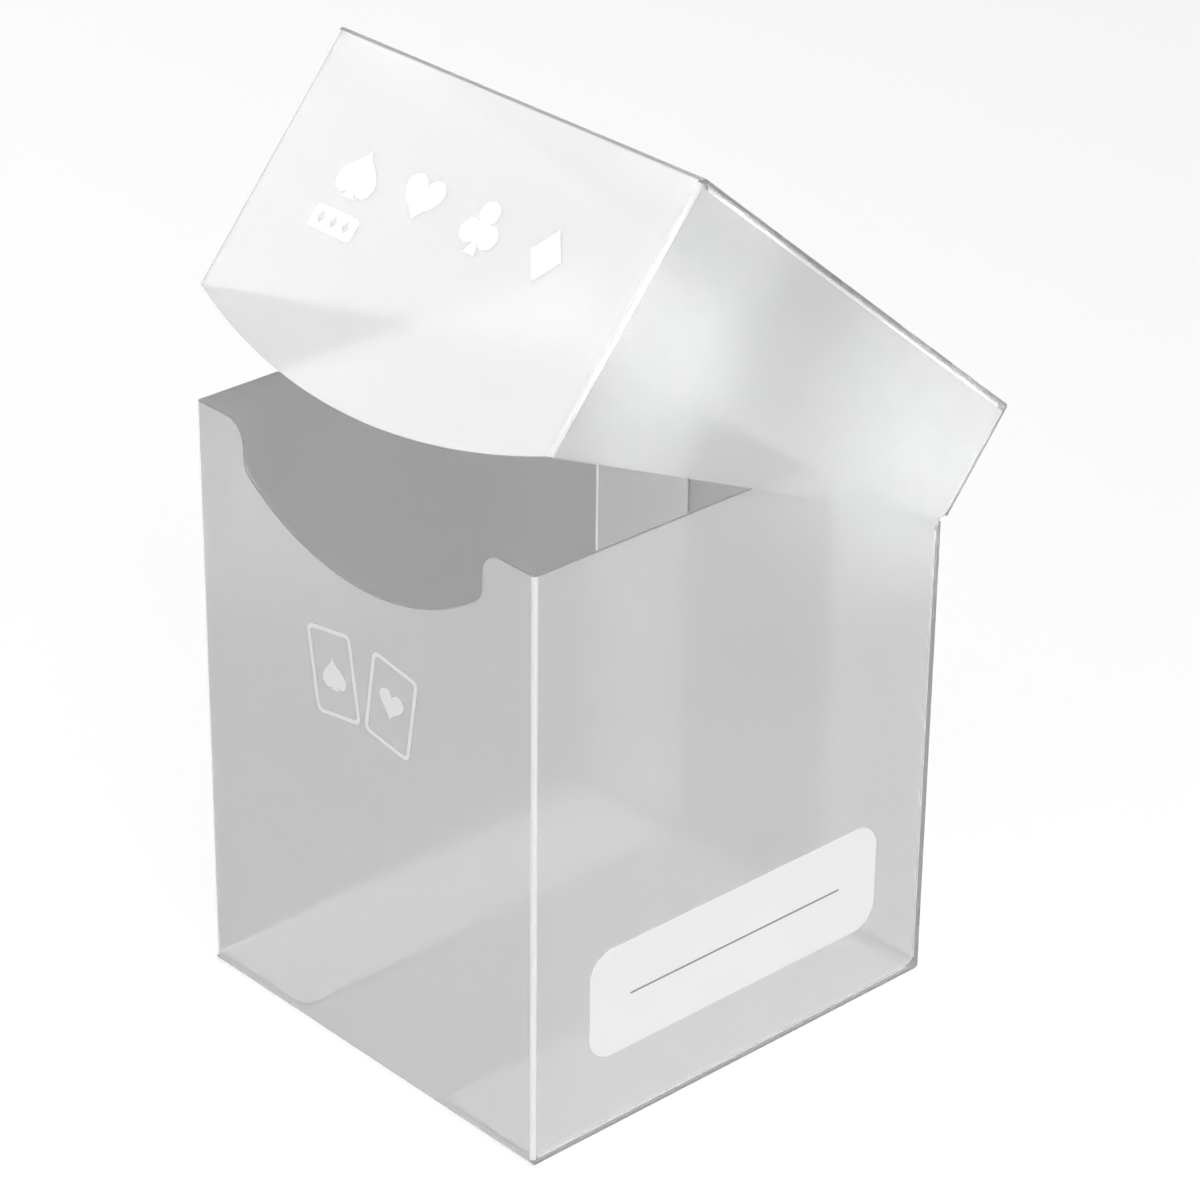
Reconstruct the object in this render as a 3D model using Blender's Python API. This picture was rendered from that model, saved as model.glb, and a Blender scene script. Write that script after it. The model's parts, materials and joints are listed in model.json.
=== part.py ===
"""Card deck box: a case and a flip lid, folded from translucent polypropylene sheet.

Every flat panel and glue flap, every fold between two of them and the living hinge
is an object of its own.  Metres, +Z up.  The origin is the middle of the underside,
the front wall with the thumb notch faces -Y, and the hinge line is at the back.
The case is drawn in world axes.  The lid is drawn closed, relative to the hinge line,
and its empty turns it open.
"""
from math import asin, atan2, cos, degrees, hypot, pi, radians, sin, sqrt

import bpy
from mathutils import Vector

# The sheet
SHEET = 0.0005          # thickness
FOLD_R = 0.0010         # outside radius of a fold
GAP = 0.0003            # clearance between neighbouring pieces
CREASE = 0.00025        # thickness left at the living hinge
CREASE_HALF = 0.0005    # half the height of the creased strip

# The case
CASE_X = 0.0715 / 2     # half its width
CASE_Y = 0.0773 / 2     # half its depth
CASE_H = 0.09275
HINGE_Z = 0.0757        # height of the hinge line on the back wall

# The lid
LID_OPEN = radians(40)  # how far open it stands
LID_X = CASE_X + GAP + SHEET
LID_LIFT = 0.00025      # room between the case's rim and the flaps under the lid's top
LID_RISE = CASE_H - HINGE_Z + LID_LIFT + 2 * SHEET + GAP
SWING_ROOM = 0.00012    # room between the case's front rim and the lid's front as it swings
LID_DEPTH = hypot(2 * CASE_Y, CASE_H - HINGE_Z) + SWING_ROOM + SHEET
LID_CORNER_Z = LID_RISE - 0.0408    # lower corners of the lid's front
LID_BULGE = 0.0071      # how far its lower edge bows down between them
NUB_R = 0.0012          # round end of a lid side wall at the hinge

# The thumb notch in the front wall
NOTCH_X = 0.0253        # half the width of its mouth
NOTCH_Z = 0.0769        # lowest point
NOTCH_R = 0.041         # the wide arc along its bottom
NOTCH_LIP_R = 0.0035    # rounded shoulder at each side of the mouth
NOTCH_FILLET_R = 0.003  # from the short straight drop into the wide arc

# Glue flaps, and the write-on label
REAR_FLAP_X = 0.0151    # free edge of a rear flap, from the middle
BASE_FLAP_X = 0.0155    # free edge of a base flap, from the middle
TOP_FLAP_X = 0.0155     # free edge of a flap under the lid's top
FLAP_R = 0.0025         # rounded flap corners
FLAP_INSET = 0.0005     # from a flap's end to the wall inside which it lies
LABEL_Y = 0.0282        # half its length
LABEL_Z = (0.0123, 0.0299)
LABEL_R = 0.0042
LABEL_THICK = 0.00015

# Lines that several pieces share: where a panel stops beside a fold, and the
# second layer of sheet inside an outer panel.
STOP = FOLD_R + GAP
LAYER = SHEET + GAP
CASE_SIDE_REAR = CASE_Y - LAYER
FLAP_TOP_Z = HINGE_Z - 0.0015
LID_SIDE_TOP = LID_RISE - LAYER

PLANES = {
    "floor": ((0, 0, 0), Vector((0, 0, 1))),
    "front": ((pi / 2, 0, 0), Vector((0, 1, 0))),
    "side": ((pi / 2, 0, pi / 2), Vector((1, 0, 0))),
}

FROSTED = ((0.86, 0.885, 0.88), 0.38)
LIVING_HINGE = ((0.93, 0.945, 0.94), 0.30)
LABEL_FILM = ((0.93, 0.94, 0.93), 0.60)


def clear_scene():
    for obj in list(bpy.data.objects):
        bpy.data.objects.remove(obj, do_unlink=True)


def material(name, look):
    """An own Principled material for one piece."""
    colour, roughness = look
    mat = bpy.data.materials.new(name)
    mat.use_nodes = True
    shader = mat.node_tree.nodes["Principled BSDF"]
    shader.inputs["Base Color"].default_value = (*colour, 1.0)
    shader.inputs["Roughness"].default_value = roughness
    shader.inputs["Metallic"].default_value = 0.0
    return mat


def arc(centre, radius, start, end, steps):
    """Points on an arc, from the start angle to the end angle in degrees."""
    points = []
    for i in range(steps + 1):
        angle = radians(start + (end - start) * i / steps)
        points.append((centre[0] + radius * cos(angle), centre[1] + radius * sin(angle)))
    return points


def rounded(corners, steps=6):
    """An outline whose corners (u, v, radius) are rounded where the radius isn't 0."""
    outline = []
    for i, (u, v, radius) in enumerate(corners):
        here = Vector((u, v))
        if radius == 0:
            outline.append((u, v))
            continue
        before = (Vector(corners[i - 1][:2]) - here).normalized()
        after = (Vector(corners[(i + 1) % len(corners)][:2]) - here).normalized()
        half = before.angle(after) / 2
        centre = here + (before + after).normalized() * radius / sin(half)
        first = here + before * radius / (sin(half) / cos(half)) - centre
        last = here + after * radius / (sin(half) / cos(half)) - centre
        turn = first.angle_signed(last)
        start = atan2(first.y, first.x)
        outline += arc(centre, radius, degrees(start), degrees(start - turn), steps)
    return outline


def rectangle(u, v):
    """The outline of a plain rectangle between two pairs of bounds."""
    return [(u[0], v[0]), (u[1], v[0]), (u[1], v[1]), (u[0], v[1])]


def fold_section(corner, inward):
    """A quarter ring: the sheet bent round a sharp outside corner."""
    centre = (corner[0] + FOLD_R * inward[0], corner[1] + FOLD_R * inward[1])
    outside = arc((0, 0), FOLD_R, 0, 90, 6)
    inside = arc((0, 0), FOLD_R - SHEET, 90, 0, 6)
    return [(centre[0] - u * inward[0], centre[1] - v * inward[1]) for u, v in outside + inside]


def piece(name, plane, outline, span, look=FROSTED, parent=None):
    """A solid with this outline in a plane, reaching across span along the plane's normal.

    The outline is in (x, y) on the floor plane, (x, z) on the front plane and
    (y, z) on the side plane.
    """
    curve = bpy.data.curves.new(name, "CURVE")
    curve.dimensions = "2D"
    curve.fill_mode = "BOTH"
    curve.extrude = abs(span[1] - span[0]) / 2
    spline = curve.splines.new("POLY")
    spline.points.add(len(outline) - 1)
    for point, (u, v) in zip(spline.points, outline):
        point.co = (u, v, 0.0, 1.0)
    spline.use_cyclic_u = True
    obj = bpy.data.objects.new(name, curve)
    turn, normal = PLANES[plane]
    obj.rotation_euler = turn
    obj.location = normal * (span[0] + span[1]) / 2
    obj.parent = parent
    curve.materials.append(material(name, look))
    box.objects.link(obj)
    return obj


# ---- the case ----

def notch_line():
    """The thumb notch, from the rim at its right side down and up to the rim at its left."""
    middle = (0.0, NOTCH_Z + NOTCH_R)
    fillet_x = NOTCH_X - NOTCH_FILLET_R
    drop = sqrt((NOTCH_R - NOTCH_FILLET_R) ** 2 - fillet_x ** 2)
    lean = degrees(atan2(drop, fillet_x))
    lip = arc((NOTCH_X + NOTCH_LIP_R, CASE_H - NOTCH_LIP_R), NOTCH_LIP_R, 90, 180, 8)
    fillet = arc((fillet_x, middle[1] - drop), NOTCH_FILLET_R, 0, -lean, 6)
    bottom = arc(middle, NOTCH_R, -lean, -90, 16)
    right = lip + fillet + bottom[1:]
    left = [(-x, z) for x, z in reversed(right[:-1])]
    return right + left


def front_wall():
    edge = CASE_X - STOP
    outline = [(-edge, STOP), (edge, STOP), (edge, CASE_H)] + notch_line() + [(-edge, CASE_H)]
    piece("front_wall", "front", outline, (-CASE_Y, -CASE_Y + SHEET))


def back_wall():
    outline = rectangle((-CASE_X, CASE_X), (STOP, HINGE_Z - CREASE_HALF - GAP))
    piece("back_wall", "front", outline, (CASE_Y - SHEET, CASE_Y))


def base_panel():
    outline = rectangle((-CASE_X, CASE_X), (-CASE_Y + STOP, CASE_Y - STOP))
    piece("base_panel", "floor", outline, (0, SHEET))


def main_strip_folds():
    """The folds that join the base to the front wall and to the back wall."""
    across = (-CASE_X, CASE_X)
    piece("front_base_fold", "side", fold_section((-CASE_Y, 0), (1, 1)), across)
    piece("back_base_fold", "side", fold_section((CASE_Y, 0), (-1, 1)), across)


def side_wall(side, s):
    """One side wall with its folds and its two glue flaps; s is -1 or 1."""
    front = -CASE_Y + STOP
    rear = CASE_SIDE_REAR - STOP
    bottom = LAYER + STOP
    outline = [
        (front, bottom), (rear, bottom), (rear, FLAP_TOP_Z + GAP),
        (CASE_SIDE_REAR, FLAP_TOP_Z + GAP), (CASE_SIDE_REAR, CASE_H), (front, CASE_H),
    ]
    piece(side + "_wall", "side", outline, (s * CASE_X, s * (CASE_X - SHEET)))

    front_fold = fold_section((s * CASE_X, -CASE_Y), (-s, 1))
    piece(side + "_front_fold", "floor", front_fold, (STOP, CASE_H))
    rear_fold = fold_section((s * CASE_X, CASE_SIDE_REAR), (-s, -1))
    piece(side + "_rear_fold", "floor", rear_fold, (bottom, FLAP_TOP_Z))
    base_fold = fold_section((s * CASE_X, LAYER), (-s, 1))
    piece(side + "_base_fold", "front", base_fold, (front, rear))

    joined = s * (CASE_X - STOP)
    rear_flap = rounded([
        (joined, bottom, 0), (joined, FLAP_TOP_Z, 0),
        (s * REAR_FLAP_X, FLAP_TOP_Z, FLAP_R), (s * REAR_FLAP_X, bottom, FLAP_R),
    ])
    piece(side + "_rear_flap", "front", rear_flap, (CASE_SIDE_REAR - SHEET, CASE_SIDE_REAR))
    flap_front = -CASE_Y + SHEET + FLAP_INSET
    flap_rear = CASE_SIDE_REAR - SHEET - FLAP_INSET
    base_flap = rounded([
        (joined, flap_front, 0), (joined, flap_rear, 0),
        (s * BASE_FLAP_X, flap_rear, FLAP_R), (s * BASE_FLAP_X, flap_front, FLAP_R),
    ])
    piece(side + "_base_flap", "floor", base_flap, (LAYER, LAYER + SHEET))


def label():
    """The write-on label on the right wall."""
    low, high = LABEL_Z
    outline = rounded([
        (-LABEL_Y, low, LABEL_R), (LABEL_Y, low, LABEL_R),
        (LABEL_Y, high, LABEL_R), (-LABEL_Y, high, LABEL_R),
    ], steps=8)
    inner = CASE_X + GAP
    piece("label", "side", outline, (inner, inner + LABEL_THICK), LABEL_FILM)


def hinge_crease():
    """The thin strip of sheet that bends when the lid swings."""
    outline = rectangle((-CASE_X, CASE_X), (HINGE_Z - CREASE_HALF, HINGE_Z + CREASE_HALF))
    piece("hinge_crease", "front", outline, (CASE_Y - CREASE, CASE_Y), LIVING_HINGE)


# ---- the lid, drawn closed with the hinge line as its origin ----

def lid_back(hinge):
    outline = rectangle((-LID_X, LID_X), (CREASE_HALF + GAP, LID_RISE - STOP))
    piece("lid_back", "front", outline, (-SHEET, 0), parent=hinge)


def lid_top(hinge):
    outline = rectangle((-LID_X, LID_X), (-LID_DEPTH + STOP, -STOP))
    piece("lid_top", "floor", outline, (LID_RISE - SHEET, LID_RISE), parent=hinge)


def lid_front(hinge):
    """The front, whose lower edge bows down in one wide arc from corner to corner."""
    edge = LID_X - STOP
    radius = (LID_X ** 2 + LID_BULGE ** 2) / (2 * LID_BULGE)
    middle = (0.0, LID_CORNER_Z - LID_BULGE + radius)
    swing = degrees(asin(edge / radius))
    outline = arc(middle, radius, -90 - swing, -90 + swing, 32)
    outline += [(edge, LID_RISE - STOP), (-edge, LID_RISE - STOP)]
    piece("lid_front", "front", outline, (-LID_DEPTH, -LID_DEPTH + SHEET), parent=hinge)


def lid_strip_folds(hinge):
    """The folds that join the lid's top to its back and to its front."""
    across = (-LID_X, LID_X)
    rear = fold_section((0, LID_RISE), (-1, -1))
    piece("lid_rear_fold", "side", rear, across, parent=hinge)
    front = fold_section((-LID_DEPTH, LID_RISE), (1, -1))
    piece("lid_front_fold", "side", front, across, parent=hinge)


def lid_side(side, s, hinge):
    """One lid side wall with its folds and its glue flap under the top."""
    front = -LID_DEPTH + STOP
    top = LID_SIDE_TOP - STOP
    outline = rounded([
        (front, LID_CORNER_Z, 0), (-LAYER, 0, NUB_R),
        (-LAYER, top, 0), (front, top, 0),
    ])
    span = (s * LID_X, s * (LID_X - SHEET))
    piece("lid_" + side + "_wall", "side", outline, span, parent=hinge)

    corner_fold = fold_section((s * LID_X, -LID_DEPTH), (-s, 1))
    reach = (LID_CORNER_Z, LID_RISE - STOP)
    piece("lid_" + side + "_front_fold", "floor", corner_fold, reach, parent=hinge)
    flap_front = -LID_DEPTH + STOP + FLAP_INSET
    flap_rear = -STOP - FLAP_INSET
    top_fold = fold_section((s * LID_X, LID_SIDE_TOP), (-s, -1))
    piece("lid_" + side + "_top_fold", "front", top_fold, (flap_front, flap_rear), parent=hinge)

    joined = s * (LID_X - STOP)
    flap = rounded([
        (joined, flap_front, 0), (joined, flap_rear, 0),
        (s * TOP_FLAP_X, flap_rear, FLAP_R), (s * TOP_FLAP_X, flap_front, FLAP_R),
    ])
    layer = (LID_SIDE_TOP - SHEET, LID_SIDE_TOP)
    piece("lid_" + side + "_top_flap", "floor", flap, layer, parent=hinge)


def build_case():
    front_wall()
    back_wall()
    base_panel()
    main_strip_folds()
    side_wall("left", -1)
    side_wall("right", 1)
    label()
    hinge_crease()


def build_lid():
    hinge = bpy.data.objects.new("lid_hinge_line", None)
    hinge.location = (0, CASE_Y, HINGE_Z)
    hinge.rotation_euler = (-LID_OPEN, 0, 0)
    box.objects.link(hinge)
    lid_back(hinge)
    lid_top(hinge)
    lid_front(hinge)
    lid_strip_folds(hinge)
    lid_side("left", -1, hinge)
    lid_side("right", 1, hinge)


clear_scene()
box = bpy.data.collections.new("card_deck_box")
bpy.context.scene.collection.children.link(box)
build_case()
build_lid()
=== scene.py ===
"""The card deck box's looks: the folded frosted sheet, its living hinge, print and label."""
import json
from math import atan2, cos, degrees, pi, radians, sin, sqrt, tan

import bmesh
import bpy
from mathutils import Matrix, Vector

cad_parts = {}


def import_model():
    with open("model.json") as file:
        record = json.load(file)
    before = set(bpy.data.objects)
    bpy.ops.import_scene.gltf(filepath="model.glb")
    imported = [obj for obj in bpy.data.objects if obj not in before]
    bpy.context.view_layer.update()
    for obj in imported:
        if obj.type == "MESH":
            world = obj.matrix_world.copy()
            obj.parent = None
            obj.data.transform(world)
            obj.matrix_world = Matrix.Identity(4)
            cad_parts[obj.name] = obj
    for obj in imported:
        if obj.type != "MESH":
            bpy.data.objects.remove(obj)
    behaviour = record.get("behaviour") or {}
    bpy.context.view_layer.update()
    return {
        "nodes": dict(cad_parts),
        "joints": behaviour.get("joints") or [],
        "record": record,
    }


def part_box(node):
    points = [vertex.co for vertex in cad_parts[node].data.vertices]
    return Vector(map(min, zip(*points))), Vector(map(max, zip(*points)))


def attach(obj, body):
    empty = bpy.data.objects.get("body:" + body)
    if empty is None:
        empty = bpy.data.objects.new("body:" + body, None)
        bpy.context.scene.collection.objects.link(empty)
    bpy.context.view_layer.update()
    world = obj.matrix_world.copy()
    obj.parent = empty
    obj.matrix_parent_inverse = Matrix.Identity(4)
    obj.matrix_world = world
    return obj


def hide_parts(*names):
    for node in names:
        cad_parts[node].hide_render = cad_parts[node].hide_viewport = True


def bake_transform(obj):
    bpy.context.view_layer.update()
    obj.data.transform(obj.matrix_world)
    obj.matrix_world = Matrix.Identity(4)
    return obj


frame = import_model()

# ---- sizes read from the frame ----

HINGE = frame["joints"][0]
PIVOT = Vector(HINGE["pos_m"])
LID_OPEN = -radians(HINGE["range_deg"][0])
LID_FRAME = Matrix.Translation(PIVOT) @ Matrix.Rotation(-LID_OPEN, 4, "X")

CASE_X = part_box("back_wall")[1].x
CASE_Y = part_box("back_wall")[1].y
CASE_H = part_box("front_wall")[1].z
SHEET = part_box("base_panel")[1].z
REAR_FLAP_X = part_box("right_rear_flap")[0].x
BASE_FLAP_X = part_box("right_base_flap")[0].x
BASE_FLAP_Y = (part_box("right_base_flap")[0].y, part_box("right_base_flap")[1].y)
FLAP_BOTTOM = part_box("right_rear_flap")[0].z
FLAP_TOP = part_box("right_rear_flap")[1].z
CREASE_HALF = (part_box("hinge_crease")[1].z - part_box("hinge_crease")[0].z) / 2


def lid_box(node):
    """A lid node's lowest and highest corners in the lid's own frame, as if the lid were shut."""
    back = LID_FRAME.inverted()
    points = [back @ v.co for v in frame["nodes"][node].data.vertices]
    low = Vector([min(p[i] for p in points) for i in range(3)])
    high = Vector([max(p[i] for p in points) for i in range(3)])
    return low, high


LID_X = lid_box("lid_top")[1].x
LID_RISE = lid_box("lid_top")[1].z
LID_DEPTH = -lid_box("lid_front")[0].y
LID_CORNER_Z = lid_box("lid_right_front_fold")[0].z
LID_LOW_Z = lid_box("lid_front")[0].z
TOP_FLAP_X = lid_box("lid_right_top_flap")[0].x
TOP_FLAP_Y = (lid_box("lid_right_top_flap")[0].y, lid_box("lid_right_top_flap")[1].y)

# ---- sizes of the finish ----

TOUCH = 0.00008         # a glued flap's distance from the panel that it lies on
LAYER = SHEET + TOUCH
FOLD_R = 0.0006         # outer radius of a fold
FLAP_R = 0.0025
EAR = 0.0002            # relief between the end of one fold and the next
EDGE_BEVEL = 0.00007
NOTCH_X = 0.0253
NOTCH_Z = 0.0769
NOTCH_R = 0.041
NOTCH_LIP_R = 0.0035
NOTCH_FILLET_R = 0.003
NUB_R = 0.0012
CREASE_THICK = 0.00028  # the living hinge's thickness along its middle
LIFT = 0.00003          # how far print and label stand off the sheet
INK = 0.00003           # the print's thickness

LABEL_R = 0.0042
LABEL_THICK = 0.00012
LABEL_BEVEL = 0.00004
RULE_REACH = 0.0206     # half of the ruled line's length
RULE_HALF = 0.00013     # half of its width

CARD_HALF_U = 0.0048
CARD_HALF_V = 0.0068
CARD_R = 0.0012
CARD_LINE = 0.0006      # width of a card's outline
CARD_INNER_R = 0.0007
CARD_LEAN = 9           # degrees
CARD_OFFSET = 0.0062    # from the front's middle to a card's middle
CARD_SPADE = 0.0052
CARD_HEART = 0.0046
CARDS_Z = 0.0612

PIP = 0.0078
HEART_PIP = 0.0068
PIP_SPACING = 0.0126
PIP_ROW_V = 0.001
BADGE_HALF_U = 0.0046
BADGE_HALF_V = 0.0018
BADGE_R = 0.0008
BADGE_V = -0.0068
DOT = 0.0018
DOT_SPACING = 0.0026


# ---- outlines ----

def arc(centre, radius, start, end, steps):
    """Points on an arc, from the start angle to the end angle in degrees."""
    points = []
    for i in range(steps + 1):
        angle = radians(start + (end - start) * i / steps)
        points.append((centre[0] + radius * cos(angle), centre[1] + radius * sin(angle)))
    return points


def rounded(corners, steps=8):
    """An outline whose corners (u, v, radius) are rounded where the radius isn't 0."""
    outline = []
    for i, (u, v, radius) in enumerate(corners):
        here = Vector((u, v))
        if radius == 0:
            outline.append((u, v))
            continue
        before = (Vector(corners[i - 1][:2]) - here).normalized()
        after = (Vector(corners[(i + 1) % len(corners)][:2]) - here).normalized()
        half = before.angle(after) / 2
        centre = here + (before + after).normalized() * radius / sin(half)
        first = here + before * radius / tan(half) - centre
        last = here + after * radius / tan(half) - centre
        start = atan2(first.y, first.x)
        end = start - first.angle_signed(last)
        outline += arc(centre, radius, degrees(start), degrees(end), steps)
    return outline


def notch_line():
    """The thumb notch's (x, z), from the rim at its right down and up to the rim at its left."""
    middle = (0.0, NOTCH_Z + NOTCH_R)
    fillet_x = NOTCH_X - NOTCH_FILLET_R
    drop = sqrt((NOTCH_R - NOTCH_FILLET_R) ** 2 - fillet_x ** 2)
    lean = degrees(atan2(drop, fillet_x))
    lip = arc((NOTCH_X + NOTCH_LIP_R, CASE_H - NOTCH_LIP_R), NOTCH_LIP_R, 90, 180, 12)
    fillet = arc((fillet_x, middle[1] - drop), NOTCH_FILLET_R, 0, -lean, 8)
    bottom = arc(middle, NOTCH_R, -lean, -90, 24)
    right = lip + fillet + bottom[1:]
    left = [(-x, z) for x, z in reversed(right[:-1])]
    return right + left


LID_BOW = LID_CORNER_Z - LID_LOW_Z
LID_ARC_R = (LID_X ** 2 + LID_BOW ** 2) / (2 * LID_BOW)


def lid_lower_edge(x):
    """Height of the lid front's bowed lower edge, in the lid's frame."""
    return LID_LOW_Z + LID_ARC_R - sqrt(LID_ARC_R ** 2 - x ** 2)


# ---- the folded sheet ----

PANEL, FOLD, CUT = 0, 1, 2


class Sheet:
    """The outer surface of a folded sheet, made panel by panel and fold by fold."""

    def __init__(self):
        self.mesh = bmesh.new()

    def face(self, points, outward, kind=PANEL, smooth=False):
        verts = [self.mesh.verts.new(p) for p in points]
        face = self.mesh.faces.new(verts)
        face.normal_update()
        if face.normal.dot(Vector(outward)) < 0:
            face.normal_flip()
        face.material_index = kind
        face.smooth = smooth

    def fold(self, u, v, stations, kind=FOLD, steps=6):
        """Bends the sheet round a corner line through the stations.

        u and v point along the two panels, away from the corner. A station is a point
        on the line, or a function from a point on the line to one on the bent edge.
        """
        u, v = Vector(u), Vector(v)
        rows = []
        for station in stations:
            row = []
            for i in range(steps + 1):
                angle = pi / 2 * i / steps
                offset = FOLD_R * ((u + v) - u * cos(angle) - v * sin(angle))
                row.append(station(offset) if callable(station) else Vector(station) + offset)
            rows.append(row)
        for near, far in zip(rows, rows[1:]):
            for i in range(steps):
                angle = pi / 2 * (i + 0.5) / steps
                outward = -(u * cos(angle) + v * sin(angle))
                self.face([near[i], near[i + 1], far[i + 1], far[i]], outward, kind, True)

    def finish(self, name, matrix, body):
        """Gives the sheet its thickness and its slightly eased cut edges."""
        bmesh.ops.remove_doubles(self.mesh, verts=self.mesh.verts, dist=0.000002)
        data = bpy.data.meshes.new(name)
        self.mesh.to_mesh(data)
        self.mesh.free()
        data.transform(matrix)
        obj = add_object(name, data, body)
        thick = obj.modifiers.new("thickness", "SOLIDIFY")
        thick.thickness = SHEET
        thick.offset = -1
        thick.use_even_offset = True
        thick.material_offset_rim = CUT
        eased = obj.modifiers.new("eased", "BEVEL")
        eased.width = EDGE_BEVEL
        eased.segments = 2
        eased.limit_method = "ANGLE"
        eased.angle_limit = radians(50)
        return obj


def add_object(name, data, body=None):
    obj = bpy.data.objects.new(name, data)
    bpy.context.scene.collection.objects.link(obj)
    if body:
        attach(obj, body)
    return obj


def case_sheet():
    """Front, base, back and side walls with their glue flaps, as one folded sheet."""
    sheet = Sheet()
    x, y = CASE_X, CASE_Y
    edge = x - FOLD_R
    notch = notch_line()
    front = [(-edge, FOLD_R), (edge, FOLD_R), (edge, FOLD_R + EAR), (edge, CASE_H)]
    front += notch + [(-edge, CASE_H), (-edge, FOLD_R + EAR)]
    sheet.face([(u, -y, w) for u, w in front], (0, -1, 0))

    across = [-x, -edge, edge, x]
    sheet.fold((0, 1, 0), (0, 0, 1), [(u, -y, 0) for u in across], PANEL)
    base = [(u, -y + FOLD_R, 0) for u in across] + [(x, y - FOLD_R, 0), (-x, y - FOLD_R, 0)]
    sheet.face(base, (0, 0, -1))
    sheet.fold((0, -1, 0), (0, 0, 1), [(-x, y, 0), (x, y, 0)], PANEL)
    rim = PIVOT.z - CREASE_HALF
    back = [(-x, FOLD_R), (x, FOLD_R), (x, rim), (-x, rim)]
    sheet.face([(u, y, w) for u, w in back], (0, 1, 0))
    for s in (-1, 1):
        case_side(sheet, s)
    return sheet.finish("case_sheet", Matrix.Identity(4), "case")


def case_side(sheet, s):
    """A side wall, folded from the front wall, and its rear and base flaps."""
    x, y = s * CASE_X, CASE_Y
    inner = s * (CASE_X - FOLD_R)
    front = -y + FOLD_R
    rear_plane = y - LAYER
    rear = rear_plane - FOLD_R
    low = LAYER + FOLD_R
    base_y = BASE_FLAP_Y
    sheet.fold((-s, 0, 0), (0, 1, 0), [(x, -y, FOLD_R + EAR), (x, -y, CASE_H)])
    wall = [
        (front, FOLD_R + EAR), (base_y[0], low), (base_y[1] - FOLD_R, low), (rear, FLAP_BOTTOM),
        (rear, FLAP_TOP), (rear + EAR, FLAP_TOP + 2 * EAR), (rear_plane, FLAP_TOP + 2 * EAR),
        (rear_plane, CASE_H), (front, CASE_H),
    ]
    sheet.face([(x, u, w) for u, w in wall], (s, 0, 0))

    sheet.fold((-s, 0, 0), (0, -1, 0), [(x, rear_plane, FLAP_BOTTOM), (x, rear_plane, FLAP_TOP)])
    free = s * REAR_FLAP_X
    flap = rounded([
        (inner, FLAP_BOTTOM, 0), (inner, FLAP_TOP, 0),
        (free, FLAP_TOP, FLAP_R), (free, FLAP_BOTTOM, FLAP_R),
    ])
    sheet.face([(u, rear_plane, w) for u, w in flap], (0, 1, 0))

    sheet.fold((-s, 0, 0), (0, 0, 1), [(x, base_y[0], LAYER), (x, base_y[1] - FOLD_R, LAYER)])
    free = s * BASE_FLAP_X
    flap = rounded([
        (inner, base_y[0], 0), (inner, base_y[1] - FOLD_R, 0),
        (free, base_y[1] - FOLD_R, FLAP_R), (free, base_y[0], FLAP_R),
    ])
    sheet.face([(u, w, LAYER) for u, w in flap], (0, 0, -1))


def lid_sheet():
    """The lid as one folded sheet, drawn shut in its own frame and turned open."""
    sheet = Sheet()
    x, top, front = LID_X, LID_RISE, -LID_DEPTH
    edge = x - FOLD_R
    back = [(-x, CREASE_HALF), (x, CREASE_HALF), (x, top - FOLD_R), (-x, top - FOLD_R)]
    sheet.face([(u, 0, w) for u, w in back], (0, 1, 0))
    sheet.fold((0, -1, 0), (0, 0, -1), [(-x, 0, top), (x, 0, top)], PANEL)
    across = [-x, -edge, edge, x]
    lid_top = [(u, front + FOLD_R, top) for u in across] + [(x, -FOLD_R, top), (-x, -FOLD_R, top)]
    sheet.face(lid_top, (0, 0, 1))
    sheet.fold((0, 1, 0), (0, 0, -1), [(u, front, top) for u in across], PANEL)

    steps = 48
    bow = [edge * (2 * i / steps - 1) for i in range(steps + 1)]
    outline = [(u, lid_lower_edge(u)) for u in bow]
    high = top - FOLD_R
    outline += [(edge, high - EAR), (edge, high), (-edge, high), (-edge, high - EAR)]
    sheet.face([(u, front, w) for u, w in outline], (0, -1, 0))
    for s in (-1, 1):
        lid_side(sheet, s)
    return sheet.finish("lid_sheet", LID_FRAME, "lid")


def lid_side(sheet, s):
    """A lid side wall, folded from the lid's front, and its flap under the top."""
    x, front = s * LID_X, -LID_DEPTH
    inner = s * (LID_X - FOLD_R)
    top_plane = LID_RISE - LAYER
    top = top_plane - FOLD_R

    def lower_end(offset):
        u = x + offset.x
        return Vector((u, front + offset.y, lid_lower_edge(u)))

    sheet.fold((-s, 0, 0), (0, 1, 0), [lower_end, (x, front, LID_RISE - FOLD_R - EAR)])
    flap_y = TOP_FLAP_Y
    wall = rounded([
        (front + FOLD_R, lid_lower_edge(x), 0), (-LAYER, 0, NUB_R), (-LAYER, top, 0),
        (flap_y[1], top, 0), (flap_y[0], top, 0), (front + FOLD_R, LID_RISE - FOLD_R - EAR, 0),
    ])
    sheet.face([(x, u, w) for u, w in wall], (s, 0, 0))

    sheet.fold((-s, 0, 0), (0, 0, -1), [(x, flap_y[0], top_plane), (x, flap_y[1], top_plane)])
    free = s * TOP_FLAP_X
    flap = rounded([
        (inner, flap_y[0], 0), (inner, flap_y[1], 0),
        (free, flap_y[1], FLAP_R), (free, flap_y[0], FLAP_R),
    ])
    sheet.face([(u, w, top_plane) for u, w in flap], (0, 0, 1))


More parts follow.
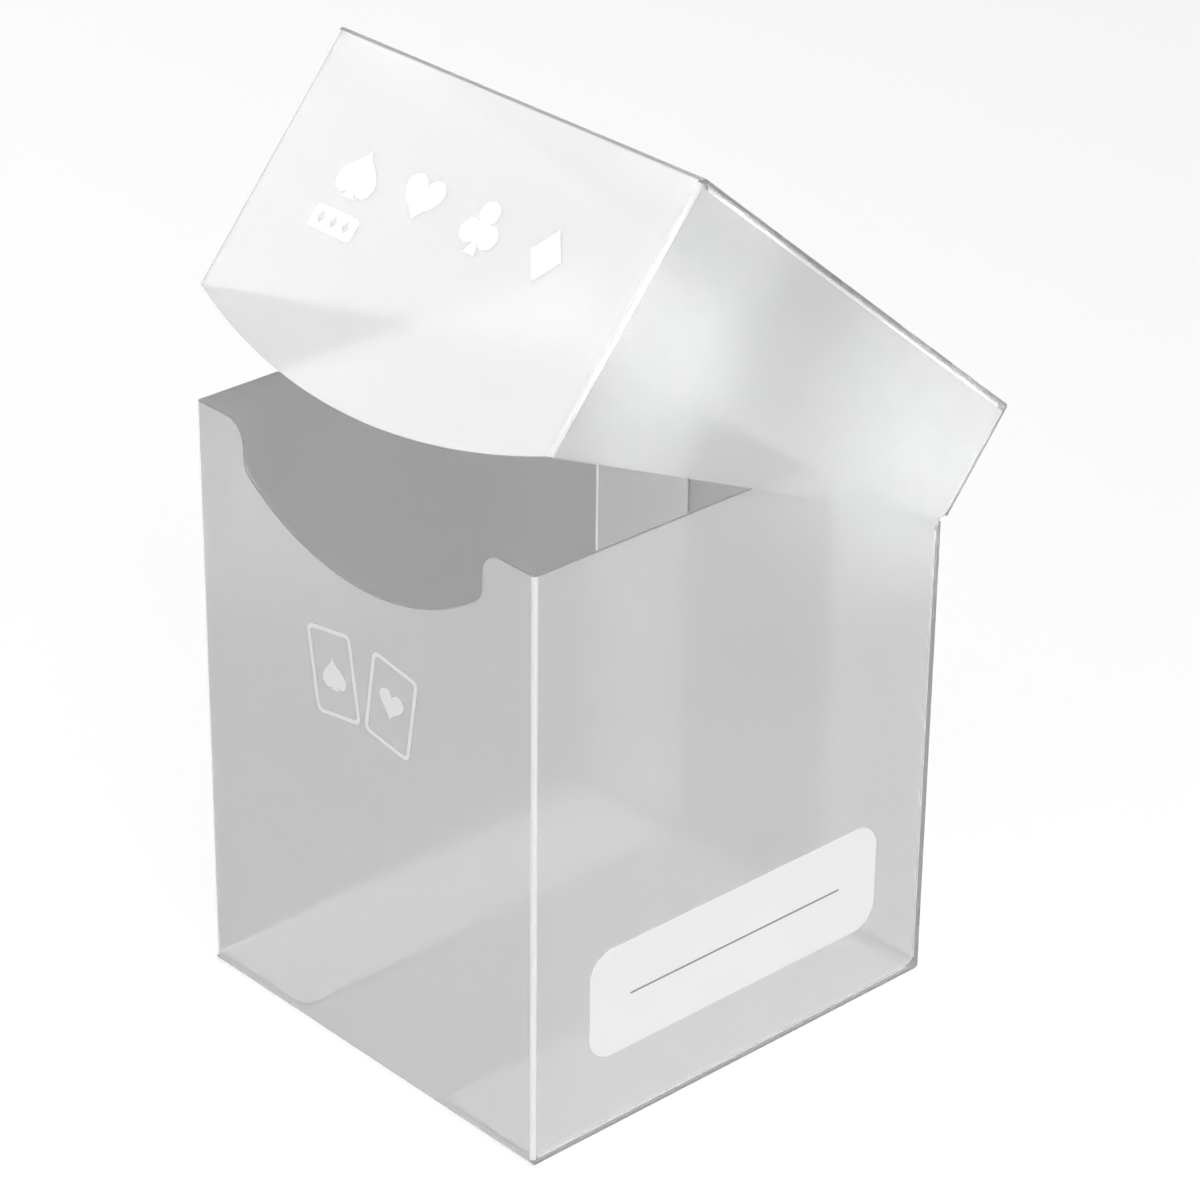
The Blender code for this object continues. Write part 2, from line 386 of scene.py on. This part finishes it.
def living_hinge():
    """The creased strip between the back wall and the lid, thinnest along its middle."""
    mesh = bmesh.new()
    rows, half = 12, CASE_X
    rings = []
    for i in range(rows + 1):
        s = i / rows
        height = CREASE_HALF * (2 * s - 1)
        groove = (SHEET - CREASE_THICK) * sin(pi * s) ** 2
        blend = s * s * (3 - 2 * s)
        turn = Matrix.Rotation(-LID_OPEN * blend, 4, "X")
        outer = PIVOT + turn @ Vector((0, 0, height))
        inner = PIVOT + turn @ Vector((0, groove - SHEET, height))
        ring = [outer + Vector((-half, 0, 0)), outer + Vector((half, 0, 0))]
        ring += [inner + Vector((half, 0, 0)), inner + Vector((-half, 0, 0))]
        rings.append([mesh.verts.new(p) for p in ring])
    for low, high in zip(rings, rings[1:]):
        for i in range(4):
            j = (i + 1) % 4
            mesh.faces.new([low[i], low[j], high[j], high[i]])
    mesh.faces.new(rings[0])
    mesh.faces.new(reversed(rings[-1]))
    bmesh.ops.recalc_face_normals(mesh, faces=mesh.faces)
    data = bpy.data.meshes.new("living_hinge")
    mesh.to_mesh(data)
    mesh.free()
    data.shade_smooth()
    data.set_sharp_from_angle(angle=radians(40))
    obj = add_object("living_hinge", data)
    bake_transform(obj)
    return obj


# ---- print and label ----

def flat_print(name, outlines, matrix, body, thick):
    """Flat shapes in one plane, with a little thickness, placed by the matrix."""
    curve = bpy.data.curves.new(name, "CURVE")
    curve.dimensions = "2D"
    curve.fill_mode = "BOTH"
    curve.extrude = thick / 2
    for outline in outlines:
        spline = curve.splines.new("POLY")
        spline.points.add(len(outline) - 1)
        for point, (u, v) in zip(spline.points, outline):
            point.co = (u, v, 0.0, 1.0)
        spline.use_cyclic_u = True
    shape = bpy.data.objects.new(name, curve)
    data = bpy.data.meshes.new_from_object(shape)
    bpy.data.objects.remove(shape)
    bpy.data.curves.remove(curve)
    data.name = name
    mesh = bmesh.new()
    mesh.from_mesh(data)
    bmesh.ops.remove_doubles(mesh, verts=mesh.verts, dist=0.000001)
    mesh.to_mesh(data)
    mesh.free()
    data.transform(matrix)
    return add_object(name, data, body)


def box_outline(half_u, half_v, radius, steps=8):
    """A rectangle with rounded corners, about the origin."""
    corners = [(-half_u, -half_v), (half_u, -half_v), (half_u, half_v), (-half_u, half_v)]
    return rounded([(u, v, radius) for u, v in corners], steps)


def label():
    """The write-on label: a rounded film with its ruled line."""
    low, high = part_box("label")
    middle = (low + high) / 2
    outline = box_outline((high.y - low.y) / 2, (high.z - low.z) / 2, LABEL_R, 12)
    face = Matrix(((0, 0, 1, 0), (1, 0, 0, 0), (0, 1, 0, 0), (0, 0, 0, 1)))
    place = Matrix.Translation((CASE_X + LIFT + LABEL_THICK / 2, middle.y, middle.z)) @ face
    film = flat_print("label_film", [outline], place, "case", LABEL_THICK)
    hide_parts("label")
    eased = film.modifiers.new("eased", "BEVEL")
    eased.width = LABEL_BEVEL
    eased.segments = 2
    eased.limit_method = "ANGLE"

    line = box_outline(RULE_REACH, RULE_HALF, RULE_HALF * 0.9, 4)
    place = Matrix.Translation((CASE_X + LIFT + LABEL_THICK + INK, middle.y, middle.z)) @ face
    rule = flat_print("label_rule", [line], place, "case", INK)
    return film, rule


def placed(outline, u, v, angle=0):
    """An outline turned by an angle in degrees and moved to (u, v)."""
    c, k = cos(radians(angle)), sin(radians(angle))
    return [(u + x * c - y * k, v + x * k + y * c) for x, y in outline]


def heart(size, first=0.0, steps=48):
    """A heart of the given height, from the bottom of its notch all the way round.

    The curve is 29 units high, and its middle is 2.5 units below its origin. With a first
    angle above 0 the heart stays open at its notch.
    """
    points = []
    for i in range(steps):
        t = first + (2 * pi - 2 * first) * i / (steps - 1 if first else steps)
        x = 16 * sin(t) ** 3
        y = 13 * cos(t) - 5 * cos(2 * t) - 2 * cos(3 * t) - cos(4 * t)
        points.append((x * size / 29, (y + 2.5) * size / 29))
    return points


def spade(size):
    """An open heart upside down, on a stem."""
    leaf = [(x, -y) for x, y in heart(size * 0.9, 0.5)]
    return leaf + [(-size * 0.17, -size / 2), (size * 0.17, -size / 2)]


def club(size):
    """Three round leaves that touch, on a stem."""
    r = size * 0.23
    away = r * 2 / sqrt(3)
    top = arc((0, away), r, -60, 240, 20)
    left = arc((-r, -away / 2), r, 60, 320, 18)
    right = arc((r, -away / 2), r, -140, 120, 18)
    foot = -size * 0.52
    return top + left[1:] + [(-size * 0.16, foot), (size * 0.16, foot)] + right[:-1]


def diamond(size):
    return [(0, size / 2), (size * 0.38, 0), (0, -size / 2), (-size * 0.38, 0)]


def marks():
    """Plain card outlines on the case's front and card-suit pips on the lid's front."""
    face = Matrix(((1, 0, 0, 0), (0, 0, -1, 0), (0, 1, 0, 0), (0, 0, 0, 1)))
    rim = box_outline(CARD_HALF_U, CARD_HALF_V, CARD_R)
    inside = box_outline(CARD_HALF_U - CARD_LINE, CARD_HALF_V - CARD_LINE, CARD_INNER_R)
    cards = []
    for side, pip in ((-1, spade(CARD_SPADE)), (1, heart(CARD_HEART))):
        for outline in (rim, inside, pip):
            cards.append(placed(outline, CARD_OFFSET * side, 0, -CARD_LEAN * side))
    place = Matrix.Translation((0, -CASE_Y - LIFT - INK / 2, CARDS_Z)) @ face
    front = flat_print("front_cards", cards, place, "case", INK)

    left = -1.5 * PIP_SPACING
    pips = []
    for i, pip in enumerate((spade(PIP), heart(HEART_PIP), club(PIP), diamond(PIP))):
        pips.append(placed(pip, left + i * PIP_SPACING, PIP_ROW_V))
    badge = placed(box_outline(BADGE_HALF_U, BADGE_HALF_V, BADGE_R), left, BADGE_V)
    dots = [placed(diamond(DOT), left + DOT_SPACING * i, BADGE_V) for i in (-1, 0, 1)]
    place = LID_FRAME @ Matrix.Translation((0, -LID_DEPTH - LIFT - INK / 2, 0)) @ face
    lid_front = flat_print("lid_pips", pips + [badge] + dots, place, "lid", INK)
    return front, lid_front


# ---- materials ----

def nodes_of(name):
    mat = bpy.data.materials.new(name)
    mat.use_nodes = True
    tree = mat.node_tree
    return mat, tree, tree.nodes["Principled BSDF"]


def noise(tree, scale, detail):
    """A noise texture in the object's own metres."""
    place = tree.nodes.new("ShaderNodeTexCoord")
    texture = tree.nodes.new("ShaderNodeTexNoise")
    texture.inputs["Scale"].default_value = scale
    texture.inputs["Detail"].default_value = detail
    tree.links.new(place.outputs["Object"], texture.inputs["Vector"])
    return texture.outputs["Fac"]


def ramp(tree, source, low, high):
    """Maps a noise's middle range to between two values."""
    node = tree.nodes.new("ShaderNodeMapRange")
    node.inputs["From Min"].default_value = 0.3
    node.inputs["From Max"].default_value = 0.7
    node.inputs["To Min"].default_value = low
    node.inputs["To Max"].default_value = high
    tree.links.new(source, node.inputs["Value"])
    return node.outputs["Result"]


def tint(tree, source, dark, light):
    """Mixes two colours by a noise."""
    node = tree.nodes.new("ShaderNodeMix")
    node.data_type = "RGBA"
    node.inputs["A"].default_value = (*dark, 1)
    node.inputs["B"].default_value = (*light, 1)
    tree.links.new(source, node.inputs["Factor"])
    return node.outputs["Result"]


def bump(tree, shader, height, strength, distance):
    """A bump from a noise, its distance in metres."""
    node = tree.nodes.new("ShaderNodeBump")
    node.inputs["Strength"].default_value = strength
    node.inputs["Distance"].default_value = distance
    tree.links.new(height, node.inputs["Height"])
    tree.links.new(node.outputs["Normal"], shader.inputs["Normal"])


def frosted(name, dark, light, rough, see_through):
    """Frosted polypropylene: a milky haze over rough transmission, with a fine matt grain."""
    mat, tree, shader = nodes_of(name)
    cloud = noise(tree, scale=55, detail=2)
    grain = noise(tree, scale=5200, detail=2)
    tree.links.new(tint(tree, cloud, dark, light), shader.inputs["Base Color"])
    tree.links.new(ramp(tree, cloud, rough[0], rough[1]), shader.inputs["Roughness"])
    bump(tree, shader, grain, strength=0.25, distance=0.00001)
    shader.inputs["IOR"].default_value = 1.49
    shader.inputs["Transmission Weight"].default_value = see_through
    shader.inputs["Subsurface Weight"].default_value = 1.0
    shader.inputs["Subsurface Radius"].default_value = (1.0, 1.0, 1.0)
    shader.inputs["Subsurface Scale"].default_value = 0.001
    return mat


def matt_film():
    """The label's film: white and matt, to write on."""
    mat, tree, shader = nodes_of("write_on_film")
    grain = noise(tree, scale=3500, detail=4)
    cloud = noise(tree, scale=120, detail=2)
    colour = tint(tree, cloud, (0.80, 0.81, 0.805), (0.84, 0.85, 0.845))
    tree.links.new(colour, shader.inputs["Base Color"])
    tree.links.new(ramp(tree, grain, 0.5, 0.68), shader.inputs["Roughness"])
    bump(tree, shader, grain, strength=0.3, distance=0.00002)
    return mat


def ink(name, dark, light):
    """Screen-printed ink, with a fine grain."""
    mat, tree, shader = nodes_of(name)
    grain = noise(tree, scale=2600, detail=3)
    tree.links.new(tint(tree, grain, dark, light), shader.inputs["Base Color"])
    tree.links.new(ramp(tree, grain, 0.45, 0.6), shader.inputs["Roughness"])
    bump(tree, shader, grain, strength=0.2, distance=0.00001)
    return mat


# ---- stage ----

FLOOR_RADIUS = 3.0
FLOOR_Z = -0.0002
GROUND_Z, SKY_Z = -0.32, 0.02           # directions between which the world brightens
GROUND_LIGHT, SKY_LIGHT = 0.03, 0.50


def floor():
    """A pale paper floor. The sheet's walls show the dark lower world instead of it."""
    mesh = bmesh.new()
    bmesh.ops.create_circle(mesh, cap_ends=True, segments=96, radius=FLOOR_RADIUS)
    data = bpy.data.meshes.new("floor")
    mesh.to_mesh(data)
    mesh.free()
    obj = add_object("floor", data)
    obj.location.z = FLOOR_Z
    obj.visible_transmission = False
    mat, tree, shader = nodes_of("floor_paper")
    cloud = noise(tree, scale=3, detail=2)
    colour = tint(tree, cloud, (0.94, 0.94, 0.94), (0.96, 0.96, 0.96))
    tree.links.new(colour, shader.inputs["Base Color"])
    shader.inputs["Roughness"].default_value = 0.9
    shader.inputs["Specular IOR Level"].default_value = 0.1
    data.materials.append(mat)


def world():
    """A soft white sky over a dark ground."""
    sky = bpy.data.worlds.new("studio")
    sky.use_nodes = True
    tree = sky.node_tree
    place = tree.nodes.new("ShaderNodeTexCoord")
    split = tree.nodes.new("ShaderNodeSeparateXYZ")
    tree.links.new(place.outputs["Generated"], split.inputs["Vector"])
    level = tree.nodes.new("ShaderNodeMapRange")
    level.interpolation_type = "SMOOTHSTEP"
    level.inputs["From Min"].default_value = GROUND_Z
    level.inputs["From Max"].default_value = SKY_Z
    level.inputs["To Min"].default_value = GROUND_LIGHT
    level.inputs["To Max"].default_value = SKY_LIGHT
    tree.links.new(split.outputs["Z"], level.inputs["Value"])
    back = tree.nodes["Background"]
    back.inputs["Color"].default_value = (1, 1, 1, 1)
    tree.links.new(level.outputs["Result"], back.inputs["Strength"])
    bpy.context.scene.world = sky


def softbox(name, place, target, side, watts, spread=180):
    """An area lamp turned to a target. side is its width and height, spread its beam's angle."""
    data = bpy.data.lights.new(name, "AREA")
    data.shape = "RECTANGLE"
    data.size, data.size_y = side
    data.energy = watts
    data.spread = radians(spread)
    obj = add_object(name, data)
    obj.location = place
    aim = Vector(target) - Vector(place)
    obj.rotation_euler = aim.to_track_quat("-Z", "Y").to_euler()


def lamps():
    """A large lamp above, one each side of the camera, and two soft pools on the lid's side."""
    softbox("overhead", (0.0, -0.3, 2.6), (0, 0, 0.08), side=(5.0, 5.0), watts=48.5)
    softbox("key", (0.9, -0.3, 0.6), (0, 0, 0.07), side=(0.7, 0.9), watts=3.1)
    softbox("front", (-0.87, -0.65, 0.78), (0, 0, 0.12), side=(0.5, 0.5), watts=4.0)
    softbox("pool_front", (0.45, 0.233, 0.385), (0.0365, -0.0150, 0.1195), side=(0.02, 0.02),
            watts=0.0032, spread=3.2)
    softbox("pool_rear", (0.45, -0.213, 0.357), (0.0365, 0.035, 0.092), side=(0.02, 0.02),
            watts=0.0045, spread=4.5)


def camera():
    """The photograph's viewing angle, from the right of the front and a little above."""
    azimuth, elevation, roll = radians(47.33), radians(27.98), radians(0.66)
    target, distance = Vector((0.0031, 0.0030, 0.0619)), 0.6164
    back = Vector((sin(azimuth) * cos(elevation), -cos(azimuth) * cos(elevation), sin(elevation)))
    data = bpy.data.cameras.new("camera")
    data.sensor_width = 36
    data.lens = 128.84
    data.clip_start, data.clip_end = 0.05, 20
    obj = add_object("camera", data)
    obj.location = target + back * distance
    turn = (-back).to_track_quat("-Z", "Y").to_matrix() @ Matrix.Rotation(roll, 3, "Z")
    obj.rotation_euler = turn.to_euler()
    bpy.context.scene.camera = obj


# ---- put together ----

sheet_material = frosted("frosted_sheet", dark=(0.885, 0.89, 0.887), light=(0.91, 0.914, 0.912),
                         rough=(0.10, 0.14), see_through=0.76)
# The folds' material is lighter and less see-through than the sheet. This is partly the real
# whitening of folded polypropylene and partly a painted highlight for the bright line along the
# folds. Folds made with PANEL keep the sheet's plain material. The living hinge uses this
# material too.
fold_material = frosted("fold_whitening_and_painted_highlight", dark=(0.93, 0.935, 0.932), light=(0.96, 0.965, 0.962),
                        rough=(0.34, 0.42), see_through=0.35)
# The cut edges are coloured dark grey. This is painted shade for the dark line where the sheet's
# thin edge is seen.
cut_edge_shade_material = frosted("cut_edge_painted_shade", dark=(0.25, 0.255, 0.252), light=(0.32, 0.325, 0.322),
                       rough=(0.25, 0.35), see_through=0.2)
film_material = matt_film()
pale_ink = ink("pale_ink", dark=(0.66, 0.67, 0.665), light=(0.72, 0.725, 0.72))
white_ink = ink("white_ink", dark=(0.86, 0.87, 0.865), light=(0.92, 0.925, 0.92))
grey_ink = ink("grey_ink", dark=(0.22, 0.225, 0.22), light=(0.28, 0.285, 0.28))

case = case_sheet()
lid = lid_sheet()
for sheet in (case, lid):
    for mat in (sheet_material, fold_material, cut_edge_shade_material, cut_edge_shade_material):
        sheet.data.materials.append(mat)

bodies = frame["record"]["behaviour"]["bodies"]
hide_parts(*[n for n in bodies["case"] if n not in ("label", "hinge_crease")])
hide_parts(*bodies["lid"])
crease = living_hinge()
crease.data.materials.append(fold_material)
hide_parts("hinge_crease")
film, rule = label()
film.data.materials.append(film_material)
rule.data.materials.append(grey_ink)
front_mark, lid_mark = marks()
front_mark.data.materials.append(pale_ink)
lid_mark.data.materials.append(white_ink)

# No piece shades another from the lamps, so that each layer of sheet is lit like the outer one.
for piece in (case, lid, crease, film, rule, front_mark, lid_mark):
    piece.visible_shadow = False

floor()
world()
lamps()
camera()
bpy.context.scene.view_settings.view_transform = "Standard"
